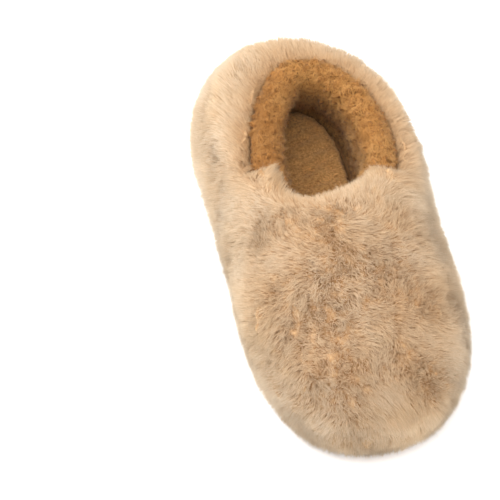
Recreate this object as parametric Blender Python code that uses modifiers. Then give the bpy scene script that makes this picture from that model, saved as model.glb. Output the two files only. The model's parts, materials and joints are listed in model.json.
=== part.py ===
"""A sheepskin slip-on slipper for the left foot, as its sewn pieces.

Axes: the toe points to -Y, the heel to +Y and the outer (lateral) side to +X. Up is +Z. The sole rests on z = 0.

The upper is one curved surface, the last surface, that runs from the sole line up to the top line round the
whole foot. Every skin, lining and stiffener is a layer of it: a patch of its columns, between two distances
from it.
"""

import bmesh
import bpy
import numpy as np

MM = 0.001

# Outline of the upper where it meets the sole (x, y), in mm, from the heel centre round the outer side.
SOLE_LINE = [
    (0, 135), (25, 125), (38, 93), (38, 52), (41, 12), (46, -28), (50, -68), (46, -103), (28, -129),
    (-3, -137), (-31, -126), (-46, -98), (-49, -60), (-42, -22), (-37, 15), (-36, 55), (-35, 93), (-22, 125),
]
# Top line of the upper (x, y, z), in mm, point by point above the sole line.
TOP_LINE = [
    (5, 110, 76), (24, 103, 75), (39, 82, 71.5), (44, 54, 69), (42, 28, 70), (34, 8, 73.5),
    (26, -3, 77), (17, -10, 80), (8, -15, 81.5), (-2, -18, 82), (-11, -18, 80.5), (-20, -14, 78),
    (-27, -6, 75.5), (-30, 6, 72), (-31, 27, 69.5), (-28, 53, 69), (-20, 79, 71.5), (-8, 100, 75),
]
# Middle of the finished slipper's footprint in the axes of the two lines above, which becomes the origin.
FOOTPRINT_MIDDLE = (1.72, 6.13)
OUTER_SEAM = 5
TOE = 9
INNER_SEAM = 14
# The vamp's shape changes to the quarters' between these distances from the toe, in points.
VAMP_EDGE = (2.6, 5.2)
COLUMNS_PER_POINT = 3
SOLE_LEVEL = 10.7

# Rise of the walls: how far each Bezier handle reaches, in mm, at the quarters and at the vamp.
FOOT_HANDLE_UP = (26, 40)
FOOT_HANDLE_OUT = (11, 9)
TOP_HANDLE_DOWN = (20, 12)
TOP_HANDLE_ALONG = (0.05, 0.54)
# Rows over which the layers turn from level to square to the surface.
LEVEL_ROWS = (0.0, 0.3)

# Rows of the layers, as shares of the way from the sole line to the top line.
WALL_ROWS = [0.0, 0.07, 0.2, 0.35, 0.5, 0.65, 0.8, 0.92, 1.0]
TURN_ANGLES = [30, 60, 90, 120, 150, 180]
THROAT_ANGLES = [30, 60, 84]
TURN_DOWN_ROW = 0.965
PILE_TOP_ROW = 0.92

# Layers by their distance from the last surface, outwards, in mm.
HIDE = (-0.6, 0.6)
BACK_TAPE = (-1.4, -0.9)
STIFFENER = (-2.9, -1.7)
TOP_TAPE = (-2.4, -1.7)
LINING_HIDE = (-4.2, -3.2)
LINING_WOOL = (-11.5, -4.5)
# Wool that the foot has pressed flat at the bottom of the walls, in mm, and the rows over which that ends.
WOOL_PRESSED = 4.0
PRESSED_ROWS = (0.25, 0.6)
PILE_ROOT = 0.9
PILE_QUARTER = 30.0
PILE_VAMP = 20.0
PILE_LIFT = 7.0
# Rows over which the pile starts to fan up round the collar.
LIFT_ROWS = (0.55, 1.0)
# Fuller pile on the inner side of the heel: how much, in mm, where round the foot, and where up the wall.
PILE_SWELL = 12.5
SWELL_MIDDLE = 16.5
SWELL_REACH = 2.3
SWELL_ROWS = (0.0, 0.5)
# How much of its depth the pile loses at the sole and at the top line, and the rows where it starts to.
SHORTER_LOW = (0.28, 0.3)
SHORTER_HIGH = (0.2, 0.65)

# The long pile stands clear of the turned-over lining, up to this angle over level.
COLLAR_CLEARANCE = 0.8
COLLAR_ANGLE = 25

# Lasting edge: the skins turn in under the foot.
LASTING_WIDTH = 14.0
HIDE_LASTING = (-0.6, 0.6)
LINING_LASTING = (-1.9, -0.9)

# Seams: the gap between two skins, and between two piles that meet, and the thread in it.
SKIN_GAP = 1.6
PILE_GAP = 0.6
THREAD_RADIUS = 0.5

# Flat pieces under the foot: lowest level, thickness, and distance of the edge out from the sole line, in mm.
OUTSOLE = (0.0, 4.5, (1.0, 1.0))
MIDSOLE = (4.8, 5.0, (0.6, 0.6))
FILLER = (10.1, 2.5, (-14.6, -14.6))
BOARD = (12.9, 1.5, (-4.6, -4.6))
FOOTBED_HIDE = (14.7, 1.2, (-7.7, -10.0))
FOOTBED_WOOL = (16.2, 10.8, (-7.4, -9.7))
EDGE_ROUNDING = 1.2

# Foot of the long pile, which hangs over the edge of the sole: level and distance from the sole line, in mm.
PILE_FOOT_LEVEL = 1.5
PILE_FOOT_INSIDE = 1.6
PILE_FOOT_SHARE = 0.72

FUR = (0.66, 0.45, 0.25)
SHEARLING = (0.50, 0.24, 0.08)
SUEDE = (0.42, 0.25, 0.12)
THREAD = (0.28, 0.15, 0.07)
FOAM = (0.62, 0.56, 0.47)
BOARD_BROWN = (0.33, 0.23, 0.14)
SOLE_BROWN = (0.07, 0.045, 0.03)


def clear_scene():
    """Starts from an empty scene."""
    for obj in list(bpy.data.objects):
        bpy.data.objects.remove(obj, do_unlink=True)


def new_collection(name):
    """A collection linked to the scene."""
    collection = bpy.data.collections.new(name)
    bpy.context.scene.collection.children.link(collection)
    return collection


def new_material(name, colour, roughness):
    """A plain Principled material."""
    material = bpy.data.materials.new(name)
    material.use_nodes = True
    shader = material.node_tree.nodes["Principled BSDF"]
    shader.inputs["Base Color"].default_value = (*colour, 1.0)
    shader.inputs["Roughness"].default_value = roughness
    shader.inputs["Metallic"].default_value = 0.0
    return material


def smooth_step(value, low, high):
    """0 below low, 1 above high, and smooth between."""
    share = np.clip((value - low) / (high - low), 0.0, 1.0)
    return share * share * (3 - 2 * share)


def closed_spline(points, places):
    """Catmull-Rom curve through a closed ring of points, read at places counted in points.

    It is moved so that the footprint's middle is the origin.
    """
    ring = np.array(points, float)
    ring[:, :2] -= FOOTPRINT_MIDDLE
    base = np.floor(places).astype(int)
    step = (places - base)[:, None]
    before, start, end, after = (ring[(base + shift) % len(ring)] for shift in (-1, 0, 1, 2))
    return 0.5 * (
        2 * start
        + (end - before) * step
        + (2 * before - 5 * start + 4 * end - after) * step**2
        + (3 * start - before - 3 * end + after) * step**3
    )


def unit(vectors):
    """Vectors of length one."""
    return vectors / np.linalg.norm(vectors, axis=-1, keepdims=True)


def places_from(places, middle):
    """How many points of the outlines away from one of them, either way round."""
    half = len(SOLE_LINE) / 2
    return np.abs((places - middle + half) % len(SOLE_LINE) - half)


def vamp_share(places):
    """1 over the vamp and 0 at the quarters, by place round the foot."""
    return 1 - smooth_step(places_from(places, TOE), *VAMP_EDGE)


def sole_points(places):
    """The sole line, in mm, at its own level."""
    flat = closed_spline(SOLE_LINE, places)
    return np.column_stack([flat, np.full(len(flat), SOLE_LEVEL)])


def outward(places):
    """Level unit vectors that point away from the foot, square to the sole line."""
    small = 0.02
    along = sole_points(places + small) - sole_points(places - small)
    return unit(np.column_stack([-along[:, 1], along[:, 0], np.zeros(len(along))]))


def last_surface(places, row):
    """Points of the last surface at these places, a share row of the way up."""
    foot = sole_points(places)
    top = closed_spline(TOP_LINE, places)
    vamp = vamp_share(places)[:, None]
    up = np.array([0.0, 0.0, 1.0])

    def blend(pair):
        return pair[0] + (pair[1] - pair[0]) * vamp

    foot_handle = foot + up * blend(FOOT_HANDLE_UP) + outward(places) * blend(FOOT_HANDLE_OUT)
    level = (foot - top) * np.array([1.0, 1.0, 0.0])
    top_handle = top + level * blend(TOP_HANDLE_ALONG) - up * blend(TOP_HANDLE_DOWN)
    rest = 1 - row
    return (
        foot * rest**3
        + 3 * foot_handle * rest**2 * row
        + 3 * top_handle * rest * row**2
        + top * row**3
    )


def layer_direction(places, row):
    """Unit vectors along which the layers are stacked: the surface's normal, and level at the sole line."""
    small = 0.01
    low = max(row - small, 0.0)
    high = min(row + small, 1.0)
    rising = last_surface(places, high) - last_surface(places, low)
    round_foot = last_surface(places + small, row) - last_surface(places - small, row)
    normal = unit(np.cross(rising, round_foot))
    share = smooth_step(row, *LEVEL_ROWS)
    return unit(normal * share + outward(places) * (1 - share))


def wall_row(places, row, distance):
    """A row of points on the wall, at a distance (or one for each place) outwards from the last surface."""
    return last_surface(places, row) + layer_direction(places, row) * np.reshape(distance, (-1, 1))


def turned_row(places, angle, radius, side):
    """A row of the roll round the top line. The angle runs from the wall's side over the top, in degrees."""
    top = closed_spline(TOP_LINE, places)
    normal = layer_direction(places, 1.0)
    rising = unit(top - last_surface(places, 0.97))
    turn = np.radians(angle)
    radius = np.reshape(radius, (-1, 1))
    return top + radius * (normal * side * np.cos(turn) + rising * np.sin(turn))


def lasting_rows(places, distance, drop):
    """The turned-in edge under the foot: its inner end, then the corner where the wall starts."""
    corner = sole_points(places) + outward(places) * distance
    inner = sole_points(places) - outward(places) * LASTING_WIDTH
    down = np.array([0.0, 0.0, drop])
    return [inner - down, corner - down]


def trim_ends(row, gap):
    """Moves a row's two end points inwards by half the gap, along the row."""
    row = row.copy()
    for end, next_to in ((0, 1), (-1, -2)):
        step = row[next_to] - row[end]
        row[end] += step * (gap / 2 / np.linalg.norm(step))
    return row


def columns(first, last):
    """Places of the columns from one point of the outlines to another. The last may pass the heel."""
    return np.linspace(first, last, round((last - first) * COLUMNS_PER_POINT) + 1)


def add_layer(name, near_rows, far_rows, gap, material, collection):
    """A closed solid between two grids of points. They end at seams, or run right round if gap is None."""
    if gap is not None:
        near_rows = [trim_ends(row, gap) for row in near_rows]
        far_rows = [trim_ends(row, gap) for row in far_rows]
    rings = np.array(near_rows + far_rows[::-1]) * MM
    if gap is None:
        rings = rings[:, :-1]
    count, across = rings.shape[:2]
    half = count // 2
    steps = across if gap is None else across - 1
    faces = []
    for ring in range(count):
        after = (ring + 1) % count
        # Each four-sided face is split along the same diagonal in every layer, so that the layers nest.
        low, high = (ring, after) if ring < half else (after, ring)
        for column in range(steps):
            beside = (column + 1) % across
            near_low, far_high = low * across + column, high * across + beside
            faces.append((near_low, low * across + beside, far_high))
            faces.append((near_low, far_high, high * across + column))
    if gap is not None:
        for ring in range(half - 1):
            opposite = count - 1 - ring
            for end in (0, across - 1):
                corners = (ring, ring + 1, opposite - 1, opposite)
                faces.append(tuple(corner * across + end for corner in corners))
    mesh = bpy.data.meshes.new(name)
    mesh.from_pydata(rings.reshape(-1, 3).tolist(), [], faces)
    solid = bmesh.new()
    solid.from_mesh(mesh)
    bmesh.ops.recalc_face_normals(solid, faces=solid.faces)
    solid.to_mesh(mesh)
    solid.free()
    mesh.materials.append(material)
    mesh.shade_smooth()
    mesh.set_sharp_from_angle(angle=np.radians(40))
    obj = bpy.data.objects.new(name, mesh)
    collection.objects.link(obj)
    return obj


def wall_rows(places, rows, distance):
    """Rows on the wall at one distance."""
    return [wall_row(places, row, distance) for row in rows]


def add_hide(name, first, last, collection, material):
    """Outer skin's leather: lasting edge and wall up to the top line."""
    places = columns(first, last)
    near, far = (
        lasting_rows(places, distance, drop) + wall_rows(places, WALL_ROWS[1:], distance)
        for distance, drop in zip(HIDE, HIDE_LASTING)
    )
    add_layer(name, near, far, SKIN_GAP, material, collection)


def pile_depth(places, row):
    """Depth of the long pile, in mm: short at the sole and the top line, and longest halfway up."""
    vamp = vamp_share(places)
    full = PILE_QUARTER + (PILE_VAMP - PILE_QUARTER) * vamp
    low = np.clip((SHORTER_LOW[1] - row) / SHORTER_LOW[1], 0, 1)
    high = np.clip((row - SHORTER_HIGH[1]) / (1 - SHORTER_HIGH[1]), 0, 1)
    swell = PILE_SWELL * (1 - smooth_step(places_from(places, SWELL_MIDDLE), 0, SWELL_REACH))
    swell = swell * smooth_step(row, *SWELL_ROWS)
    return PILE_ROOT + full * (1 - SHORTER_LOW[0] * low**2 - SHORTER_HIGH[0] * high**2) + swell


def pile_face(places, row):
    """A row of the long pile's outer face. Near the quarters' top line the pile fans up round the collar."""
    lift = PILE_LIFT * smooth_step(row, *LIFT_ROWS) * (1 - vamp_share(places))
    face = wall_row(places, row, pile_depth(places, row))
    return face + lift[:, None] * np.array([0.0, 0.0, 1.0])


def pile_foot_rows(places):
    """The foot of the pile, which hangs over the edge of the sole."""
    edge = sole_points(places)
    edge[:, 2] = PILE_FOOT_LEVEL
    near = edge + outward(places) * PILE_FOOT_INSIDE
    far = edge + outward(places) * (pile_depth(places, 0.0) * PILE_FOOT_SHARE)[:, None]
    return near, far


def add_pile(name, first, last, rolls_over, collection, material):
    """Outer skin's long pile. It rolls over the throat at the vamp and stands round the collar elsewhere."""
    places = columns(first, last)
    near_foot, far_foot = pile_foot_rows(places)
    level = wall_row(places, 0.0, PILE_FOOT_INSIDE)
    rows = [row for row in WALL_ROWS[1:] if rolls_over or row <= PILE_TOP_ROW]
    near = [near_foot, level] + wall_rows(places, rows, PILE_ROOT)
    far = [far_foot, wall_row(places, 0.0, pile_depth(places, 0.0))]
    far += [pile_face(places, row) for row in rows]
    if rolls_over:
        for angle in THROAT_ANGLES:
            near.append(turned_row(places, angle, PILE_ROOT, 1))
            far.append(turned_row(places, angle, pile_depth(places, 1.0) * (1 - angle / 300), 1))
    else:
        around = COLLAR_CLEARANCE - LINING_WOOL[0]
        near += [wall_row(places, PILE_TOP_ROW, around), turned_row(places, COLLAR_ANGLE, around, 1)]
        far += [pile_face(places, 0.96), pile_face(places, 1.0)]
    add_layer(name, near, far, PILE_GAP, material, collection)


def add_lining(pattern, first, last, turns_over, collection, hide_material, wool_material):
    """Lining's leather and its shorn wool. At the quarters both turn over the top line to its outer side."""
    places = columns(first, last)
    angles = TURN_ANGLES if turns_over else THROAT_ANGLES
    drops = {LINING_HIDE[0]: LINING_LASTING[0], LINING_HIDE[1]: LINING_LASTING[1]}
    sides = []
    for distance in LINING_HIDE + LINING_WOOL:
        rows = lasting_rows(places, distance, drops[distance]) if distance in drops else []
        pressed = WOOL_PRESSED if distance == LINING_WOOL[0] else 0.0
        for row in WALL_ROWS[1:]:
            rows.append(wall_row(places, row, distance + pressed * (1 - smooth_step(row, *PRESSED_ROWS))))
        rows += [turned_row(places, angle, -distance, -1) for angle in angles]
        if turns_over:
            rows.append(wall_row(places, TURN_DOWN_ROW, -distance))
        sides.append(rows)
    for kind, near, far, material in (
        ("lining_hide", sides[1], sides[0], hide_material),
        ("lining_wool", sides[3], sides[2], wool_material),
    ):
        add_layer(pattern.format(kind), near, far, PILE_GAP, material, collection)


def add_strip(name, first, last, rows, depths, collection, material, closed=False):
    """A stiffener or a tape between the skins."""
    places = columns(first, last)
    near = wall_rows(places, rows, depths[0])
    far = wall_rows(places, rows, depths[1])
    add_layer(name, near, far, None if closed else 0.0, material, collection)


def add_thread(name, points, collection, material):
    """A thread along points in mm."""
    curve = bpy.data.curves.new(name, "CURVE")
    curve.dimensions = "3D"
    spline = curve.splines.new("POLY")
    spline.points.add(len(points) - 1)
    for target, point in zip(spline.points, points * MM):
        target.co = (*point, 1.0)
    curve.bevel_depth = THREAD_RADIUS * MM
    curve.bevel_resolution = 1
    curve.use_fill_caps = True
    curve.materials.append(material)
    collection.objects.link(bpy.data.objects.new(name, curve))


def seam_points(place):
    """A seam up the wall, in the gap between two skins."""
    rows = WALL_ROWS[1:-1]
    return np.vstack([last_surface(np.array([float(place)]), row) for row in rows])


def collar_seam_points():
    """The seam where the turned-over lining meets the long pile, round the heel from throat to throat."""
    places = columns(INNER_SEAM, len(SOLE_LINE) + OUTER_SEAM)[1:-1]
    between = (TURN_DOWN_ROW + PILE_TOP_ROW) / 2
    return wall_row(places, between, 6.0)


def add_flat(name, level, thickness, beyond, collection, material, rounding=0.0):
    """A flat piece from a level upwards, beyond the sole line by one distance at the quarters, one at the vamp."""
    places = columns(0, len(SOLE_LINE))[:-1]
    offset = beyond[0] + (beyond[1] - beyond[0]) * vamp_share(places)
    outline = sole_points(places) + outward(places) * offset[:, None]
    curve = bpy.data.curves.new(name, "CURVE")
    curve.dimensions = "2D"
    curve.fill_mode = "BOTH"
    curve.extrude = thickness / 2 * MM
    spline = curve.splines.new("POLY")
    spline.points.add(len(outline) - 1)
    for target, point in zip(spline.points, outline * MM):
        target.co = (point[0], point[1], 0.0, 1.0)
    spline.use_cyclic_u = True
    curve.materials.append(material)
    obj = bpy.data.objects.new(name, curve)
    obj.location.z = (level + thickness / 2) * MM
    collection.objects.link(obj)
    if rounding:
        weld = obj.modifiers.new("join_caps", "WELD")
        weld.merge_threshold = 0.00001
        bevel = obj.modifiers.new("edge_rounding", "BEVEL")
        bevel.width = rounding * MM
        bevel.segments = 2
        bevel.angle_limit = np.radians(50)


def build():
    """All the slipper's pieces."""
    clear_scene()
    slipper = new_collection("slipper")
    ring = len(SOLE_LINE)
    fur = new_material("fur_cream", FUR, 0.9)
    hide = new_material("hide_leather", SUEDE, 0.85)
    shearling = new_material("shearling_tan", SHEARLING, 0.95)
    lining_hide = new_material("lining_leather", SUEDE, 0.85)
    thread = new_material("thread_brown", THREAD, 0.7)
    board = new_material("board_brown", BOARD_BROWN, 0.8)
    foam = new_material("foam_pale", FOAM, 0.9)
    sole = new_material("sole_brown", SOLE_BROWN, 0.75)
    tape = new_material("tape_cotton", FOAM, 0.85)

    # Outer skins, by where they start and end round the foot.
    patches = {
        "vamp_{}": (OUTER_SEAM, INNER_SEAM, True),
        "quarter_{}_inner": (INNER_SEAM, ring, False),
        "quarter_{}_outer": (ring, ring + OUTER_SEAM, False),
    }
    for pattern, (first, last, rolls_over) in patches.items():
        add_hide(pattern.format("hide"), first, last, slipper, hide)
        add_pile(pattern.format("fur"), first, last, rolls_over, slipper, fur)

    # Linings.
    add_lining("vamp_{}", OUTER_SEAM, INNER_SEAM, False, slipper, lining_hide, shearling)
    add_lining("quarter_{}_inner", INNER_SEAM, ring, True, slipper, lining_hide, shearling)
    add_lining("quarter_{}_outer", ring, ring + OUTER_SEAM, True, slipper, lining_hide, shearling)

    # Stiffeners and tapes between the skins.
    add_strip("heel_counter", ring - 3, ring + 3, WALL_ROWS[1:6], STIFFENER, slipper, board)
    add_strip("collar_tape", 0, ring, WALL_ROWS[6:], TOP_TAPE, slipper, tape, closed=True)
    add_strip("back_seam_tape", ring - 1 / 3, ring + 1 / 3, WALL_ROWS[1:8], BACK_TAPE, slipper, tape)

    # Threads.
    add_thread("vamp_thread_outer", seam_points(OUTER_SEAM), slipper, thread)
    add_thread("vamp_thread_inner", seam_points(INNER_SEAM), slipper, thread)
    add_thread("back_thread", seam_points(0), slipper, thread)
    add_thread("collar_thread", collar_seam_points(), slipper, thread)

    # Flat pieces under the foot.
    add_flat("outsole", *OUTSOLE, slipper, sole, EDGE_ROUNDING)
    add_flat("midsole", *MIDSOLE, slipper, foam)
    add_flat("bottom_filler", *FILLER, slipper, foam)
    add_flat("insole_board", *BOARD, slipper, board)
    add_flat("footbed_hide", *FOOTBED_HIDE, slipper, lining_hide)
    add_flat("footbed_wool", *FOOTBED_WOOL, slipper, shearling, EDGE_ROUNDING)


build()
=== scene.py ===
"""Looks of the sheepskin slipper: its long cream pile, its curly shorn lining and its sole, on a pale floor.

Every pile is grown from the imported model. A smooth envelope is made from a wool node's own solid, a lumpy
undercoat fills it part of the way, and tapered locks of fibres stand on the undercoat, combed and drawn into
tufts.
"""

import json
import math

import bmesh
import bpy
import numpy as np
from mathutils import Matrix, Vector
from mathutils.bvhtree import BVHTree
from mathutils.kdtree import KDTree


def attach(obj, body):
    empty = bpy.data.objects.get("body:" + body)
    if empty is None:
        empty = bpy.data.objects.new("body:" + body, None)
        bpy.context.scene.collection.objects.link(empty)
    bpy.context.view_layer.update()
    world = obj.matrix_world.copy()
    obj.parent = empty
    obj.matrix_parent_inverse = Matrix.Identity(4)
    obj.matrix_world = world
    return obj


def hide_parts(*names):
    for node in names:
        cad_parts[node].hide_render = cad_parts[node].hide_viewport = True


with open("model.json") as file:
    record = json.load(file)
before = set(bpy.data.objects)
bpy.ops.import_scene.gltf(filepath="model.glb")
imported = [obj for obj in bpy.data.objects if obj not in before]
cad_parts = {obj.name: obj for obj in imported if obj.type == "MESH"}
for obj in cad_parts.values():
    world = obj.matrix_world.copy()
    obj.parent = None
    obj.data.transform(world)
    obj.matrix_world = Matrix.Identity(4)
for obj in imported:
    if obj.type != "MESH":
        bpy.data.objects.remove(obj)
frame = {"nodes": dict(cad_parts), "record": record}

UP = np.array([0.0, 0.0, 1.0])
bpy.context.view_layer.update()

# Camera: where it stands round a place in the slipper, in degrees and metres, how many degrees it then turns
# and tilts away from that place, and its lens in millimetres.
CAMERA_AZIMUTH = -16.81
CAMERA_ELEVATION = 49.43
CAMERA_DISTANCE = 1.0
CAMERA_ABOUT = (0.0, 0.0, 0.04)
CAMERA_TURN = 4.37
CAMERA_TILT = 0.98
CAMERA_LENS = 111.1

# The three skins of the upper, and their wool, leather and lining, by node.
FUR_NODES = ("vamp_fur", "quarter_fur_inner", "quarter_fur_outer")
HIDE_NODES = ("vamp_hide", "quarter_hide_inner", "quarter_hide_outer")
LINING_NODES = ("vamp_lining_wool", "quarter_lining_wool_inner", "quarter_lining_wool_outer")
LINING_HIDES = ("vamp_lining_hide", "quarter_lining_hide_inner", "quarter_lining_hide_outer")

# Lengths are in metres. A pair is a low and a high value, unless its comment says otherwise.

# Locks of wool: how many, the most in one mesh, and how thick they are at the root.
FUR_STRANDS = 170000
LINING_STRANDS = 60000
FOOTBED_STRANDS = 17000
MOST_STRANDS_A_PIECE = 18000
FUR_RADIUS = (0.00014, 0.00025)
LINING_RADIUS = (0.00015, 0.00027)
FOOTBED_RADIUS = (0.0002, 0.00032)

# A lock: its sides, its width at the middle ring as a share of its root's, how far along its colours that
# ring is, and how far its shading follows the pile as a whole.
LOCK_SIDES = 3
LOCK_TAPER = 0.8
MIDDLE_RING_TONE = 0.55
FLUFF = 0.68
# No wool goes lower than this over the floor.
LOWEST_WOOL = 0.0004

# Undercoats: voxel size, share of the pile's depth that is filled, and height of the lumps.
FUR_UNDERCOAT = (0.0025, 0.66, 0.0012)
LINING_UNDERCOAT = (0.002, 0.8, 0.0012)
FOOTBED_UNDERCOAT = (0.002, 0.9, 0.0004)
UNDERCOAT_ROUNDS = 4
# The undercoat's lumps grow from none to full height between these depths of pile.
LUMPY_DEPTH = (0.002, 0.006)

# Envelopes that the locks are scattered on: voxel size and rounds of smoothing.
FUR_ENVELOPE = (0.003, 10)
LINING_ENVELOPE = (0.0025, 4)
FOOTBED_ENVELOPE = (0.0025, 3)

# Random numbers: seeds, and for each set of waves its seed and wavelength.
FUR_SEED = 11
LINING_SEED = 23
FOOTBED_SEED = 31
FUR_LUMPS = (3, 0.011)
FUR_WHORLS = (5, 0.040)
FUR_SWIRLS = (6, 0.008)
FUR_HEIGHTS = (7, 0.007)
LINING_LUMPS = (13, 0.0050)
LINING_SWIRLS = (15, 0.012)
FOOTBED_LUMPS = (33, 0.009)
FOOTBED_SWIRLS = (35, 0.03)

# Long pile: the longest lock, the share of the pile's depth that a lock takes, how deep its tip lies in the
# pile, and what the waves add to that.
FUR_LONGEST = 0.013
FUR_DEPTH_SHARE = 0.75
FUR_LENGTH_CHANGE = (0.8, 1.15)
FUR_SINK = (-0.0012, 0.0016)
FUR_HEIGHT_CHANGE = 0.0004
# Thin single fibres among the locks: their share, how far they stand out and how thin they are.
WISP_SHARE = 0.12
WISP_REACH = 0.002
WISP_THIN = 0.6
# Where locks grow: from this depth of pile, from this cosine between the way out of the leather and the
# surface's own, and not on faces that look down this much and lie this low.
FUR_DEEP = (0.004, 0.009)
FUR_OUTSIDE = (-0.9, -0.6)
SOLE_FACING = (0.75, 0.95)
SOLE_LEVEL = 0.006
SOLE_FADE = (0.0, 0.003)
# Combing: strength of the main direction and of its downward part, of the whorls, of the swirls, of each
# lock's own, and of the pull over the throat and the collar. The last one is what the main direction loses
# beside the collar.
COMB_MAIN = 0.6
COMB_DOWN = 0.35
COMB_WHORLS = 0.45
COMB_SWIRLS = 0.25
COMB_LOOSE = 0.4
COMB_OVER_THROAT = 1.3
COMB_OVER_COLLAR = 1.2
COMB_LESS_BY_COLLAR = 0.5
# How far a lock leans on the quarters, what the vamp adds, and where the vamp starts, towards the toe.
LEAN_QUARTER = 0.24
LEAN_VAMP = 0.1
LEAN_CHANGE = (0.7, 1.3)
VAMP_START = (-0.02, 0.03)
# A lock's shape, as shares of its length: how its foot slants, how deep its middle lies and how much that
# leans. The middle is then drawn towards the tip.
FOOT_SLANT = 0.15
MIDDLE_DEPTH = 0.38
MIDDLE_LEAN = 0.28
MIDDLE_PULL = 0.12
# Distances from the lining over which the pile stands up, and over which it takes the lining's colour.
BESIDE_COLLAR = (0.003, 0.012)
WARM_BY_COLLAR = (0.001, 0.026)
WARMTH_BY_COLLAR = 0.95
WARMTH_ON_VAMP = 0.38
WARM_VAMP_START = (-0.01, 0.04)
WARM_FACING = (0.2, 0.9)
WARMTH_CHANGE = (0.75, 1.0)
# How much of a tuft's tone comes from the large tufts.
LARGE_TUFT_TONE = 0.6
# Tufts of the long pile, of the lining and of the footbed: spacing, and how far the tips are drawn together.
FUR_TUFTS = (0.0055, 0.1)
FUR_SMALL_TUFTS = (0.0019, 0.35)
LINING_TUFTS = (0.0032, 0.6)
FOOTBED_TUFTS = (0.003, 0.4)

# Where the lining's locks grow: from this depth of wool and this cosine between the way out of the leather
# and the surface's own. Towards the toe, from TOE_END on, only a share of them does.
LINING_DEEP = (0.002, 0.004)
LINING_INSIDE = (0.2, 0.6)
TOE_SHARE = 0.25
TOE_END = (-0.02, 0.01)
# The lining's locks: length, how far the curls and chance lift their tips, and how much they turn together
# and alone. As shares of the length: how far they lean, how deep the middle lies and how far it is kinked.
LINING_LENGTH = (0.0035, 0.0055)
LINING_CURLS = 0.0016
LINING_RISE = 0.0010
SWIRL_STRENGTH = 0.8
SWIRL_LOOSE = 0.5
LINING_LEAN = 0.4
LINING_MIDDLE = 0.25
LINING_KINK = 0.3
# The footbed's locks: length, how far chance lifts their tips, how they are brushed, together and alone. As
# shares of the length: how far they lean, and how deep their middle lies and leans.
FOOTBED_LENGTH = (0.003, 0.0042)
FOOTBED_RISE = 0.0006
BRUSHED = (0.1, -1.0, 0.0)
BRUSH_SWIRLS = 0.5
BRUSH_LOOSE = 0.3
FOOTBED_LEAN = 0.5
FOOTBED_MIDDLE = 0.35
FOOTBED_MIDDLE_LEAN = 0.15
FOOTBED_TOP = (0.2, 0.8)
# Tones that multiply a tuft's colour, and a single lock's: from the darkest to the lightest.
TUFT_TONES = ((0.90, 0.88, 0.86), (1.04, 1.04, 1.04))
LOCK_TONES = ((0.82, 0.80, 0.78), (1.08, 1.08, 1.08))
# The lining's colour is darkened on its inner side: painted shade for the shadow that falls there. In X, from
# fully shaded to not shaded.
INNER_SIDE_PAINTED_SHADE = (-0.030, 0.004)

# The opening: its middle seen from above and the height of its edge. Then where its front edge fades out: in
# Y, in height and in distance from the middle. Last, where its inner front corner starts, to the side and to
# the back, how far the pile hangs over it, and how much of that is downwards.
OPENING_MIDDLE = (0.004, 0.03)
OPENING_LEVEL = 0.07
THROAT_FRONT = (0.03, 0.04)
THROAT_LEVEL = (0.062, 0.075)
THROAT_RADIUS = (0.048, 0.062)
CORNER_SIDE = (0.0, 0.02)
CORNER_FRONT = (-0.02, 0.01)
CORNER_OVERHANG = 0.008
CORNER_DROP = 0.3
# The place that the long pile is combed away from, seen from above.
COMB_MIDDLE = (0.0, 0.03)

# Lights: name, azimuth and elevation in degrees, distance, size, and power in watts.
LIGHTS = (
    ("back_light", 165, 60, 1.8, 1.4, 6),
    ("left_light", -120, 48, 1.8, 1.2, 24),
    ("right_light", 80, 22, 1.8, 1.2, 6),
    ("front_light", -20, 58, 2.0, 1.4, 24),
)
WORLD_STRENGTH = 1.12
FLOOR_SIZE = 8.0
FLOOR_GREY = 0.93
SENSOR_WIDTH = 36.0


# ---------------------------------------------------------------- numbers


def unit(vectors):
    """Vectors of length one."""
    return vectors / np.maximum(np.linalg.norm(vectors, axis=-1, keepdims=True), 1e-9)


def smooth_step(value, low, high):
    """0 below low, 1 above high, and smooth between."""
    share = np.clip((value - low) / (high - low), 0.0, 1.0)
    return share * share * (3 - 2 * share)


def tangent(vectors, normals):
    """The part of the vectors that lies along the surface."""
    return vectors - normals * np.sum(vectors * normals, axis=1, keepdims=True)


class Waves:
    """Smooth random numbers in space, about -1 to 1, as a sum of waves of about one length."""

    def __init__(self, seed, wavelength, channels=1, count=14):
        rng = np.random.default_rng(seed)
        directions = unit(rng.normal(size=(channels, count, 3)))
        lengths = wavelength * rng.uniform(0.7, 1.5, size=(channels, count, 1))
        self.waves = directions * (2 * math.pi / lengths)
        self.phases = rng.uniform(0, 2 * math.pi, size=(channels, count))
        self.scale = math.sqrt(2 / count)

    def __call__(self, points):
        turns = np.einsum("nk,cwk->ncw", points, self.waves) + self.phases
        return np.sin(turns).sum(axis=2) * self.scale


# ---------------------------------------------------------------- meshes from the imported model


def node_arrays(names):
    """Points and triangles of CAD nodes, joined, and each triangle's node number."""
    points, faces, owner = [], [], []
    start = 0
    for number, name in enumerate(names):
        mesh = frame["nodes"][name].data
        mesh.calc_loop_triangles()
        own = np.empty(len(mesh.vertices) * 3)
        mesh.vertices.foreach_get("co", own)
        tris = np.empty(len(mesh.loop_triangles) * 3, np.int64)
        mesh.loop_triangles.foreach_get("vertices", tris)
        points.append(own.reshape(-1, 3))
        faces.append(tris.reshape(-1, 3) + start)
        owner.append(np.full(len(mesh.loop_triangles), number))
        start += len(mesh.vertices)
    return np.vstack(points), np.vstack(faces), np.concatenate(owner)


def tree_of(names):
    """A search tree over CAD nodes, and each of its triangles' node number."""
    points, faces, owner = node_arrays(names)
    return BVHTree.FromPolygons(points.tolist(), faces.tolist()), owner


def nearest(tree, points):
    """Nearest point of the tree to each point, and the triangle it is on."""
    found = [tree.find_nearest(point) for point in points.tolist()]
    return np.array([hit[0] for hit in found]), np.array([hit[2] for hit in found])


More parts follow.
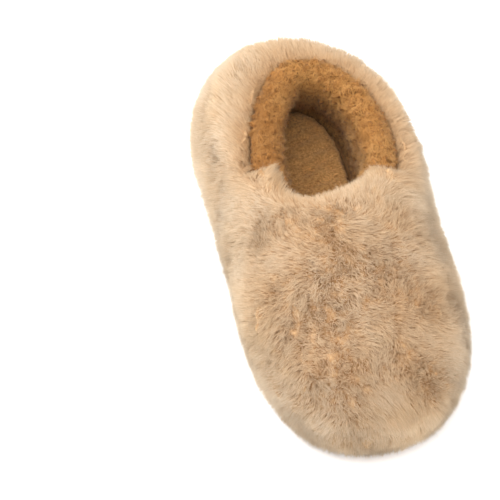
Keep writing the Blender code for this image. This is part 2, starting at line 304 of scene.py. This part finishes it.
def mesh_object(name, points, faces, smooth=True):
    """A mesh object from arrays."""
    mesh = bpy.data.meshes.new(name)
    mesh.from_pydata(points.tolist(), [], faces.tolist())
    if smooth:
        mesh.shade_smooth()
    obj = bpy.data.objects.new(name, mesh)
    bpy.context.scene.collection.objects.link(obj)
    return obj


def envelope(names, voxel, rounds):
    """Points, triangles and normals of a rounded surface round CAD nodes."""
    points, faces, _ = node_arrays(names)
    obj = mesh_object("envelope", points, faces)
    remesh = obj.modifiers.new("voxels", "REMESH")
    remesh.mode = "VOXEL"
    remesh.voxel_size = voxel
    graph = bpy.context.evaluated_depsgraph_get()
    mesh = bpy.data.meshes.new_from_object(obj.evaluated_get(graph))
    solid = bmesh.new()
    solid.from_mesh(mesh)
    axes = {"use_axis_x": True, "use_axis_y": True, "use_axis_z": True}
    for _ in range(rounds):
        bmesh.ops.smooth_vert(solid, verts=solid.verts, factor=0.5, **axes)
    bmesh.ops.triangulate(solid, faces=solid.faces)
    solid.to_mesh(mesh)
    solid.free()
    own = np.empty(len(mesh.vertices) * 3)
    mesh.vertices.foreach_get("co", own)
    normals = np.empty(len(mesh.vertices) * 3)
    mesh.vertices.foreach_get("normal", normals)
    tris = np.empty(len(mesh.polygons) * 3, np.int64)
    mesh.polygons.foreach_get("vertices", tris)
    bpy.data.objects.remove(obj, do_unlink=True)
    return own.reshape(-1, 3), tris.reshape(-1, 3), normals.reshape(-1, 3)


def scatter(points, faces, normals, weights, count, rng):
    """Random places on a surface, by area and by a weight at each of its points: positions and normals."""
    corners = points[faces]
    sides = corners[:, 1:] - corners[:, :1]
    area = np.linalg.norm(np.cross(sides[:, 0], sides[:, 1]), axis=1)
    share = area * weights[faces].mean(axis=1)
    chosen = rng.choice(len(faces), size=count, p=share / share.sum())
    first = np.sqrt(rng.random(count))
    second = rng.random(count)
    mix = np.column_stack([1 - first, first * (1 - second), first * second])[:, :, None]
    places = (corners[chosen] * mix).sum(axis=1)
    facing = unit((normals[faces[chosen]] * mix).sum(axis=1))
    return places, facing


# ---------------------------------------------------------------- pieces


def add_undercoat(name, node, tree, make, lumps, material):
    """The dense part of a pile: the node's own solid, thinned to a share of its depth and made lumpy.

    make is the voxel size, the share of the depth and the height of the lumps.
    """
    voxel, share, lump_height = make
    points, faces, normals = envelope([node], voxel, UNDERCOAT_ROUNDS)
    roots, _ = nearest(tree, points)
    depth = np.linalg.norm(points - roots, axis=1, keepdims=True)
    outer = smooth_step(depth, *LUMPY_DEPTH)
    drawn = points + normals * (lumps(points) * lump_height * outer - depth * (1 - share))
    drawn[:, 2] = np.maximum(drawn[:, 2], LOWEST_WOOL)
    obj = mesh_object(name, drawn, faces)
    obj.data.materials.append(material)
    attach(obj, "root")
    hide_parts(node)
    return obj


def add_strands(name, root, middle, tip, radius, side, tone, material, slot):
    """Tapered three-sided locks of fibres, as one mesh of closed bodies.

    tone is three numbers for each lock: its tuft's tone, its own tone and its tint: warmth on the long pile,
    painted shade on the lining.

    Fine fibres scatter light as a fluffy whole, so each lock is shaded partly with side, the pile's own
    direction.
    """
    count = len(root)
    first = unit(middle - root)
    second = unit(tip - middle)
    rings = []
    shading = []
    for centre, along, width in ((root, first, 1.0), (middle, unit(first + second), LOCK_TAPER)):
        across = unit(np.cross(along, side))
        over = np.cross(along, across)
        for turn in range(LOCK_SIDES):
            angle = turn * 2 * math.pi / LOCK_SIDES
            spoke = across * math.cos(angle) + over * math.sin(angle)
            rings.append(centre + spoke * (radius * width)[:, None])
            shading.append(unit(spoke * (1 - FLUFF) + side * FLUFF))
    points = np.stack(rings + [tip], axis=1).reshape(-1, 3)
    shading = np.stack(shading + [unit(second * (1 - FLUFF) + side * FLUFF)], axis=1).reshape(-1, 3)
    points[:, 2] = np.maximum(points[:, 2], LOWEST_WOOL)
    top = 2 * LOCK_SIDES
    pattern = [(0, 2, 1)]
    for turn in range(LOCK_SIDES):
        after = (turn + 1) % LOCK_SIDES
        upper, upper_after = turn + LOCK_SIDES, after + LOCK_SIDES
        pattern += [(turn, after, upper_after), (turn, upper_after, upper), (upper, upper_after, top)]
    corners = top + 1
    faces = (np.array(pattern)[None] + np.arange(count)[:, None, None] * corners).reshape(-1, 3)
    mesh = bpy.data.meshes.new(name)
    mesh.vertices.add(len(points))
    mesh.vertices.foreach_set("co", points.ravel())
    mesh.loops.add(faces.size)
    mesh.loops.foreach_set("vertex_index", faces.ravel())
    mesh.polygons.add(len(faces))
    mesh.polygons.foreach_set("loop_start", np.arange(0, faces.size, 3))
    mesh.update(calc_edges=True)
    mesh.shade_smooth()
    mesh.normals_split_custom_set_from_vertices(shading.tolist())
    along = np.tile([0.0] * LOCK_SIDES + [MIDDLE_RING_TONE] * LOCK_SIDES + [1.0], count)
    colour = np.column_stack([along, np.repeat(tone, corners, axis=0)])
    layer = mesh.color_attributes.new("lock", "FLOAT_COLOR", "POINT")
    layer.data.foreach_set("color", colour.ravel())
    # Each lock has a small square of its own for baked colour.
    cells = math.ceil(math.sqrt(count))
    across = np.tile([0.2, 0.5, 0.8, 0.2, 0.5, 0.8, 0.5], count)
    across += np.repeat(np.arange(count) % cells, corners)
    upward = np.tile([0.15, 0.15, 0.15, 0.5, 0.5, 0.5, 0.85], count)
    upward += np.repeat(np.arange(count) // cells, corners)
    places = np.column_stack([across, upward]) / cells
    mesh.uv_layers.new(name="OFBake").data.foreach_set("uv", places[faces.ravel()].ravel())
    mesh.materials.append(material)
    obj = bpy.data.objects.new(name, mesh)
    bpy.context.scene.collection.objects.link(obj)
    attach(obj, "root")
    return obj


def add_locks(nodes, owner, root, middle, tip, radius, side, tone, material, slot):
    """Locks as pieces of a moderate size, by the wool node they belong to.

    owner is each lock's node number.
    """
    for number, node in enumerate(nodes):
        own = np.flatnonzero(owner == number)
        pieces = math.ceil(len(own) / MOST_STRANDS_A_PIECE)
        for part, chosen in enumerate(np.array_split(own, pieces)):
            name = f"{node}_locks_{part + 1}"
            rows = (values[chosen] for values in (root, middle, tip, radius, side, tone))
            add_strands(name, *rows, material, slot)


def gather_tips(places, tips, spacing, strength, rng):
    """Draws the tips of neighbouring locks together, so that they form tufts about one spacing wide."""
    cells = np.floor(places / spacing + rng.random(3)).astype(np.int64)
    _, heads = np.unique(cells, axis=0, return_index=True)
    tree = KDTree(len(heads))
    for number, head in enumerate(heads):
        tree.insert(places[head], number)
    tree.balance()
    tuft = np.array([tree.find(place)[1] for place in places.tolist()])
    pull = strength * rng.uniform(0.5, 1.0, size=(len(places), 1))
    return tips + (tips[heads[tuft]] - tips) * pull, rng.random(len(heads))[tuft]


# ---------------------------------------------------------------- materials


def principled(name, roughness, sheen=0.0, sheen_roughness=0.5):
    """A new material, its node tree and its shader."""
    material = bpy.data.materials.new(name)
    material.use_nodes = True
    tree = material.node_tree
    shader = tree.nodes["Principled BSDF"]
    shader.inputs["Roughness"].default_value = roughness
    shader.inputs["Specular IOR Level"].default_value = 0.25
    if sheen:
        shader.inputs["Sheen Weight"].default_value = sheen
        shader.inputs["Sheen Roughness"].default_value = sheen_roughness
        shader.inputs["Sheen Tint"].default_value = (1.0, 0.84, 0.64, 1.0)
    return material, tree, shader


def ramp(tree, factor, stops):
    """A colour ramp node fed by factor."""
    node = tree.nodes.new("ShaderNodeValToRGB")
    while len(node.color_ramp.elements) < len(stops):
        node.color_ramp.elements.new(0.5)
    for element, (place, colour) in zip(node.color_ramp.elements, stops):
        element.position = place
        element.color = (*colour, 1.0)
    tree.links.new(factor, node.inputs["Fac"])
    return node.outputs["Color"]


def noise(tree, scale, detail=2.0, roughness=0.5):
    """A noise texture in object space. scale is in waves a metre."""
    place = tree.nodes.new("ShaderNodeTexCoord")
    node = tree.nodes.new("ShaderNodeTexNoise")
    node.inputs["Scale"].default_value = scale
    node.inputs["Detail"].default_value = detail
    node.inputs["Roughness"].default_value = roughness
    tree.links.new(place.outputs["Object"], node.inputs["Vector"])
    return node.outputs["Fac"]


def mix_colour(tree, kind, factor, first, second):
    """A colour mix node. factor is a number or a socket."""
    node = tree.nodes.new("ShaderNodeMix")
    node.data_type = "RGBA"
    node.blend_type = kind
    if isinstance(factor, float):
        node.inputs["Factor"].default_value = factor
    else:
        tree.links.new(factor, node.inputs["Factor"])
    for socket, value in ((node.inputs["A"], first), (node.inputs["B"], second)):
        if isinstance(value, tuple):
            socket.default_value = (*value, 1.0)
        else:
            tree.links.new(value, socket)
    return node.outputs["Result"]


def linear(red, green, blue):
    """A colour given as an sRGB triple out of 255, in linear light."""
    return tuple((value / 255) ** 2.2 for value in (red, green, blue))


def lock_material(name, root, middle, tip, patch, patch_scale, warmth_and_shade_tint, sheen):
    """Locks of wool: darker at the root, with each tuft and each patch of its own tone."""
    material, tree, shader = principled(name, 0.75, sheen)
    attribute = tree.nodes.new("ShaderNodeAttribute")
    attribute.attribute_name = "lock"
    parts = tree.nodes.new("ShaderNodeSeparateColor")
    tree.links.new(attribute.outputs["Color"], parts.inputs["Color"])
    along = ramp(tree, parts.outputs["Red"], [(0.0, root), (0.5, middle), (1.0, tip)])
    patches = ramp(tree, noise(tree, patch_scale, 3.0), [(0.35, (0.0,) * 3), (0.65, (1.0,) * 3)])
    toned = mix_colour(tree, "MULTIPLY", patches, along, patch)
    tufts = ramp(tree, parts.outputs["Green"], list(enumerate(TUFT_TONES)))
    tufted = mix_colour(tree, "MULTIPLY", 1.0, toned, tufts)
    single = ramp(tree, parts.outputs["Blue"], list(enumerate(LOCK_TONES)))
    toned = mix_colour(tree, "MULTIPLY", 1.0, tufted, single)
    # The lock's alpha mixes in a tint: warmth on the long pile, and painted shade on the lining's inner side.
    warmed_and_shaded = mix_colour(tree, "MULTIPLY", attribute.outputs["Alpha"], toned, warmth_and_shade_tint)
    tree.links.new(warmed_and_shaded, shader.inputs["Base Color"])
    return material


def undercoat_material(name, dark, light, scale, sheen):
    """The dense wool under the locks: streaky and dark in the hollows."""
    material, tree, shader = principled(name, 0.9, sheen)
    colour = ramp(tree, noise(tree, scale, 4.0, 0.65), [(0.3, dark), (0.7, light)])
    tree.links.new(colour, shader.inputs["Base Color"])
    bump = tree.nodes.new("ShaderNodeBump")
    bump.inputs["Distance"].default_value = 0.0015
    bump.inputs["Strength"].default_value = 0.6
    tree.links.new(noise(tree, scale * 2.2, 3.0), bump.inputs["Height"])
    tree.links.new(bump.outputs["Normal"], shader.inputs["Normal"])
    return material


def grained_material(name, dark, light, scale, depth, roughness):
    """Leather, board, foam or rubber: a mottled colour and a fine grain."""
    material, tree, shader = principled(name, roughness)
    colour = ramp(tree, noise(tree, scale, 5.0, 0.6), [(0.3, dark), (0.7, light)])
    tree.links.new(colour, shader.inputs["Base Color"])
    bump = tree.nodes.new("ShaderNodeBump")
    bump.inputs["Distance"].default_value = depth
    bump.inputs["Strength"].default_value = 0.7
    tree.links.new(noise(tree, scale * 6, 2.0), bump.inputs["Height"])
    tree.links.new(bump.outputs["Normal"], shader.inputs["Normal"])
    return material


# ---------------------------------------------------------------- the long pile


def throat_edge(places):
    """1 at the top of the vamp, round the front of the opening, and 0 away from it."""
    front = 1 - smooth_step(places[:, 1], *THROAT_FRONT)
    near = np.linalg.norm(places[:, :2] - np.array(OPENING_MIDDLE), axis=1)
    return front * smooth_step(places[:, 2], *THROAT_LEVEL) * (1 - smooth_step(near, *THROAT_RADIUS))


def fur_places(tree, rng):
    """Where the locks of the long pile end: places, the way the pile faces, its depth, and the locks' way out.

    No locks grow in the seams, on the faces towards the lining or under the sole's edge.
    """
    points, faces, normals = envelope(FUR_NODES, *FUR_ENVELOPE)
    roots, _ = nearest(tree, points)
    reach = points - roots
    pointing = np.sum(unit(reach) * normals, axis=1)
    deep = smooth_step(np.linalg.norm(reach, axis=1), *FUR_DEEP)
    weights = deep * smooth_step(pointing, *FUR_OUTSIDE)
    under_sole = smooth_step(-normals[:, 2], *SOLE_FACING) * smooth_step(SOLE_LEVEL - points[:, 2], *SOLE_FADE)
    weights *= 1 - under_sole
    places, facing = scatter(points, faces, normals, weights, FUR_STRANDS, rng)
    roots, _ = nearest(tree, places)
    reach = places - roots
    depth = np.linalg.norm(reach, axis=1)
    return places, facing, depth, unit(unit(reach) + facing * 0.8)


def comb_fur(places, facing, opening, beside, edge, rng):
    """The way each lock of the long pile is combed, along the surface.

    It is combed away from the middle of the opening and downwards, with whorls and loose locks. Beside the
    collar the pile stands up and hangs a little over the lining. Round the throat it hangs over the edge.
    """
    spread = places - np.array([*COMB_MIDDLE, 0.0])
    spread[:, 2] = 0
    strength = COMB_MAIN - COMB_LESS_BY_COLLAR * beside
    comb = unit(tangent(unit(spread) - UP * COMB_DOWN, facing)) * strength[:, None]
    over_collar = beside * rng.uniform(0.0, COMB_OVER_COLLAR, len(places))
    comb += tangent(opening, facing) * over_collar[:, None]
    comb += tangent(opening, facing) * (edge * COMB_OVER_THROAT)[:, None]
    comb += tangent(Waves(*FUR_WHORLS, 3)(places), facing) * COMB_WHORLS
    comb += tangent(Waves(*FUR_SWIRLS, 3)(places), facing) * COMB_SWIRLS
    comb += tangent(rng.normal(size=places.shape), facing) * COMB_LOOSE
    return comb


def grow_fur():
    """The long cream pile of the three outer skins."""
    rng = np.random.default_rng(FUR_SEED)
    tree, _ = tree_of(HIDE_NODES)
    fur_tree, fur_owner = tree_of(FUR_NODES)
    under = undercoat_material("fur_undercoat", linear(140, 102, 66), linear(206, 170, 128), 260.0, 0.2)
    lumps = Waves(*FUR_LUMPS)
    for node in FUR_NODES:
        add_undercoat(f"{node}_undercoat", node, tree, FUR_UNDERCOAT, lumps, under)

    places, facing, depth, out = fur_places(tree, rng)
    count = len(places)
    collar_tree, _ = tree_of(LINING_NODES)
    collar, _ = nearest(collar_tree, places)
    from_collar = np.linalg.norm(places - collar, axis=1)
    beside = 1 - smooth_step(from_collar, *BESIDE_COLLAR)
    opening = unit(np.array([*OPENING_MIDDLE, OPENING_LEVEL]) - places)
    edge = throat_edge(places)
    comb = comb_fur(places, facing, opening, beside, edge, rng)
    vamp = smooth_step(-places[:, 1], *VAMP_START)
    lean = (LEAN_QUARTER + LEAN_VAMP * vamp) * rng.uniform(*LEAN_CHANGE, count)

    # Each lock runs from its foot deep in the pile, over its middle, to its tip near the envelope.
    length = np.minimum(depth * FUR_DEPTH_SHARE, FUR_LONGEST) * rng.uniform(*FUR_LENGTH_CHANGE, count)
    sink = rng.uniform(*FUR_SINK, count) + Waves(*FUR_HEIGHTS)(places)[:, 0] * FUR_HEIGHT_CHANGE
    wisps = rng.random(count) < WISP_SHARE
    sink[wisps] -= rng.uniform(0.0, WISP_REACH, wisps.sum())
    span = length[:, None]
    tips = places - out * sink[:, None] + comb * span * lean[:, None]
    inner_corner = smooth_step(-places[:, 0], *CORNER_SIDE) * smooth_step(places[:, 1], *CORNER_FRONT)
    overhang = edge * inner_corner * CORNER_OVERHANG
    tips += opening * np.array([1.0, 1.0, CORNER_DROP]) * overhang[:, None]
    tips, tuft = gather_tips(places, tips, *FUR_TUFTS, rng)
    tips, small_tuft = gather_tips(places, tips, *FUR_SMALL_TUFTS, rng)
    foot = places - out * span - comb * span * FOOT_SLANT
    middle = places - out * span * MIDDLE_DEPTH + comb * span * lean[:, None] * MIDDLE_LEAN
    middle += (tips - middle) * MIDDLE_PULL
    radius = rng.uniform(*FUR_RADIUS, count)
    radius[wisps] *= WISP_THIN

    # Colour: warmer beside the lining and on top of the vamp.
    by_collar = 1 - smooth_step(from_collar, *WARM_BY_COLLAR)
    on_top = smooth_step(-places[:, 1], *WARM_VAMP_START) * smooth_step(facing[:, 2], *WARM_FACING)
    warmth = np.maximum(by_collar * WARMTH_BY_COLLAR, on_top * WARMTH_ON_VAMP)
    warmth *= rng.uniform(*WARMTH_CHANGE, count)
    tufts = tuft * LARGE_TUFT_TONE + small_tuft * (1 - LARGE_TUFT_TONE)
    tone = np.column_stack([tufts, rng.random(count), warmth])
    _, face = nearest(fur_tree, places)
    material = lock_material(
        "fur_locks",
        root=linear(174, 138, 100),
        middle=linear(209, 181, 149),
        tip=linear(222, 205, 181),
        patch=(0.97, 0.90, 0.80),
        patch_scale=24.0,
        warmth_and_shade_tint=(0.72, 0.55, 0.36),
        sheen=0.35,
    )
    add_locks(FUR_NODES, fur_owner[face], foot, middle, tips, radius, facing, tone, material, "fur_cream")


# ---------------------------------------------------------------- the shorn lining and footbed


def grow_lining():
    """The curly shorn wool of the three linings, which shows inside and round the collar."""
    rng = np.random.default_rng(LINING_SEED)
    tree, _ = tree_of(LINING_HIDES)
    wool_tree, owner_of = tree_of(LINING_NODES)
    under = undercoat_material("shearling_undercoat", linear(88, 54, 22), linear(160, 110, 58), 420.0, 0.1)
    lumps = Waves(*LINING_LUMPS)
    for node in LINING_NODES:
        add_undercoat(f"{node}_undercoat", node, tree, LINING_UNDERCOAT, lumps, under)

    # Locks grow only on the side away from the leather, and fewer inside the toe.
    points, faces, normals = envelope(LINING_NODES, *LINING_ENVELOPE)
    roots, _ = nearest(tree, points)
    reach = points - roots
    pointing = np.sum(unit(reach) * normals, axis=1)
    depth = np.linalg.norm(reach, axis=1)
    weights = smooth_step(depth, *LINING_DEEP) * smooth_step(pointing, *LINING_INSIDE)
    weights *= TOE_SHARE + (1 - TOE_SHARE) * smooth_step(points[:, 1], *TOE_END)
    places, facing = scatter(points, faces, normals, weights, LINING_STRANDS, rng)
    roots, _ = nearest(tree, places)
    out = unit(unit(places - roots) + facing)
    swirl = tangent(Waves(*LINING_SWIRLS, 3)(places), facing) * SWIRL_STRENGTH
    swirl += tangent(rng.normal(size=places.shape), facing) * SWIRL_LOOSE
    span = rng.uniform(*LINING_LENGTH, (len(places), 1))
    curls = lumps(places) * LINING_CURLS
    rise = rng.uniform(-LINING_RISE, LINING_RISE, (len(places), 1)) + curls
    tips = places + out * rise + swirl * span * LINING_LEAN
    tips, tuft = gather_tips(places, tips, *LINING_TUFTS, rng)
    foot = places - out * span
    curl = tangent(rng.normal(size=places.shape), facing) * span * LINING_KINK
    middle = places - out * span * LINING_MIDDLE + curl
    radius = rng.uniform(*LINING_RADIUS, len(places))
    # Painted shade: the lining's locks are darkened towards the inner side, at low X, in place of the shadow
    # that falls there.
    painted_shade_inner = 1 - smooth_step(places[:, 0], *INNER_SIDE_PAINTED_SHADE)
    tone = np.column_stack([tuft, rng.random(len(places)), painted_shade_inner * rng.uniform(0.7, 1.0, len(places))])
    _, face = nearest(wool_tree, places)
    material = lock_material(
        "shearling_locks",
        root=linear(92, 56, 24),
        middle=linear(174, 124, 68),
        tip=linear(200, 150, 90),
        patch=(0.86, 0.78, 0.66),
        patch_scale=60.0,
        # This tint is the painted shade on the lining's inner side.
        warmth_and_shade_tint=(0.76, 0.70, 0.62),
        sheen=0.12,
    )
    owner = owner_of[face]
    add_locks(LINING_NODES, owner, foot, middle, tips, radius, facing, tone, material, "shearling_tan")


def grow_footbed():
    """The short, flat-brushed pile of the footbed."""
    rng = np.random.default_rng(FOOTBED_SEED)
    tree, _ = tree_of(["footbed_hide"])
    under = undercoat_material("footbed_undercoat", linear(120, 80, 42), linear(184, 138, 84), 500.0, 0.2)
    lumps = Waves(*FOOTBED_LUMPS)
    name = "footbed_wool_undercoat"
    add_undercoat(name, "footbed_wool", tree, FOOTBED_UNDERCOAT, lumps, under)

    # Locks grow only on top, brushed towards the toe.
    points, faces, normals = envelope(["footbed_wool"], *FOOTBED_ENVELOPE)
    weights = smooth_step(normals[:, 2], *FOOTBED_TOP)
    places, facing = scatter(points, faces, normals, weights, FOOTBED_STRANDS, rng)
    swirls = Waves(*FOOTBED_SWIRLS, 3)(places) * BRUSH_SWIRLS
    brushed = tangent(np.array(BRUSHED) + swirls, facing)
    brushed += tangent(rng.normal(size=places.shape), facing) * BRUSH_LOOSE
    span = rng.uniform(*FOOTBED_LENGTH, (len(places), 1))
    rise = rng.uniform(-FOOTBED_RISE, FOOTBED_RISE, (len(places), 1))
    tips = places + brushed * span * FOOTBED_LEAN + facing * rise
    tips, tuft = gather_tips(places, tips, *FOOTBED_TUFTS, rng)
    foot = places - facing * span
    middle = places - facing * span * FOOTBED_MIDDLE + brushed * span * FOOTBED_MIDDLE_LEAN
    material = lock_material(
        "footbed_locks",
        root=linear(112, 74, 38),
        middle=linear(202, 150, 90),
        tip=linear(226, 174, 112),
        patch=(0.88, 0.80, 0.70),
        patch_scale=70.0,
        warmth_and_shade_tint=(1.0, 1.0, 1.0),
        sheen=0.12,
    )
    tone = np.column_stack([tuft, rng.random(len(places)), np.zeros(len(places))])
    radius = rng.uniform(*FOOTBED_RADIUS, len(places))
    owner = np.zeros(len(places), np.int64)
    add_locks(["footbed_wool"], owner, foot, middle, tips, radius, facing, tone, material, "shearling_tan")


# ---------------------------------------------------------------- hard and hidden pieces


def dress_nodes():
    """Better materials for the CAD nodes that stay."""
    suede = grained_material("suede", linear(150, 104, 62), linear(186, 138, 92), 180.0, 0.0002, 0.9)
    board = grained_material("fibre_board", linear(120, 88, 56), linear(160, 124, 84), 220.0, 0.0001, 0.8)
    foam = grained_material("foam", linear(196, 182, 158), linear(218, 206, 184), 300.0, 0.0002, 0.85)
    rubber = grained_material("rubber", linear(52, 42, 34), linear(72, 60, 48), 140.0, 0.0002, 0.6)
    thread = grained_material("thread", linear(110, 70, 36), linear(150, 104, 60), 900.0, 0.0001, 0.7)
    tape = grained_material("tape", linear(196, 182, 158), linear(220, 208, 186), 600.0, 0.0001, 0.85)
    finishes = {
        "hide_leather": suede,
        "lining_leather": suede,
        "board_brown": board,
        "foam_pale": foam,
        "sole_brown": rubber,
        "thread_brown": thread,
        "tape_cotton": tape,
    }
    for part in frame["record"]["subparts"]:
        obj = frame["nodes"][part["node"]]
        if part["material_slot"] in finishes:
            for number in range(len(obj.material_slots)):
                obj.material_slots[number].link = "OBJECT"
                obj.material_slots[number].material = finishes[part["material_slot"]]


# ---------------------------------------------------------------- floor, light and camera


def add_stage():
    """A plain pale floor."""
    bpy.ops.mesh.primitive_plane_add(size=FLOOR_SIZE, location=(0, 0, 0))
    floor = bpy.context.object
    floor.name = "floor"
    material, _, shader = principled("floor_white", 0.8)
    shader.inputs["Base Color"].default_value = (FLOOR_GREY, FLOOR_GREY, FLOOR_GREY, 1.0)
    floor.data.materials.append(material)


def aim(obj, direction):
    """Turns a light or camera to look along a direction."""
    obj.rotation_mode = "QUATERNION"
    obj.rotation_quaternion = Vector(direction).to_track_quat("-Z", "Y")


def round_slipper(azimuth, elevation):
    """Unit vector from the slipper towards a place round it. Azimuth 0 is in front of the toe."""
    turn, lift = math.radians(azimuth), math.radians(elevation)
    return Vector((math.sin(turn) * math.cos(lift), -math.cos(turn) * math.cos(lift), math.sin(lift)))


def add_light(name, azimuth, elevation, distance, size, power):
    """A soft square light that points at the slipper."""
    data = bpy.data.lights.new(name, "AREA")
    data.size = size
    data.energy = power
    light = bpy.data.objects.new(name, data)
    place = round_slipper(azimuth, elevation)
    light.location = place * distance
    aim(light, -place)
    bpy.context.scene.collection.objects.link(light)


def add_lights():
    """Soft studio light from all round, with a little more from the left and the front."""
    world = bpy.data.worlds.new("studio")
    world.use_nodes = True
    world.node_tree.nodes["Background"].inputs["Color"].default_value = (1.0, 1.0, 1.0, 1.0)
    world.node_tree.nodes["Background"].inputs["Strength"].default_value = WORLD_STRENGTH
    bpy.context.scene.world = world
    for light in LIGHTS:
        add_light(*light)


def add_camera():
    """The camera, which looks a little past the slipper."""
    data = bpy.data.cameras.new("camera")
    data.lens = CAMERA_LENS
    data.sensor_width = SENSOR_WIDTH
    camera = bpy.data.objects.new("camera", data)
    place = round_slipper(CAMERA_AZIMUTH, CAMERA_ELEVATION)
    camera.location = Vector(CAMERA_ABOUT) + place * CAMERA_DISTANCE
    aim(camera, -round_slipper(CAMERA_AZIMUTH + CAMERA_TURN, CAMERA_ELEVATION + CAMERA_TILT))
    bpy.context.scene.collection.objects.link(camera)
    bpy.context.scene.camera = camera


add_camera()
add_stage()
add_lights()
bpy.context.scene.view_settings.view_transform = "Standard"
dress_nodes()
grow_fur()
grow_lining()
grow_footbed()
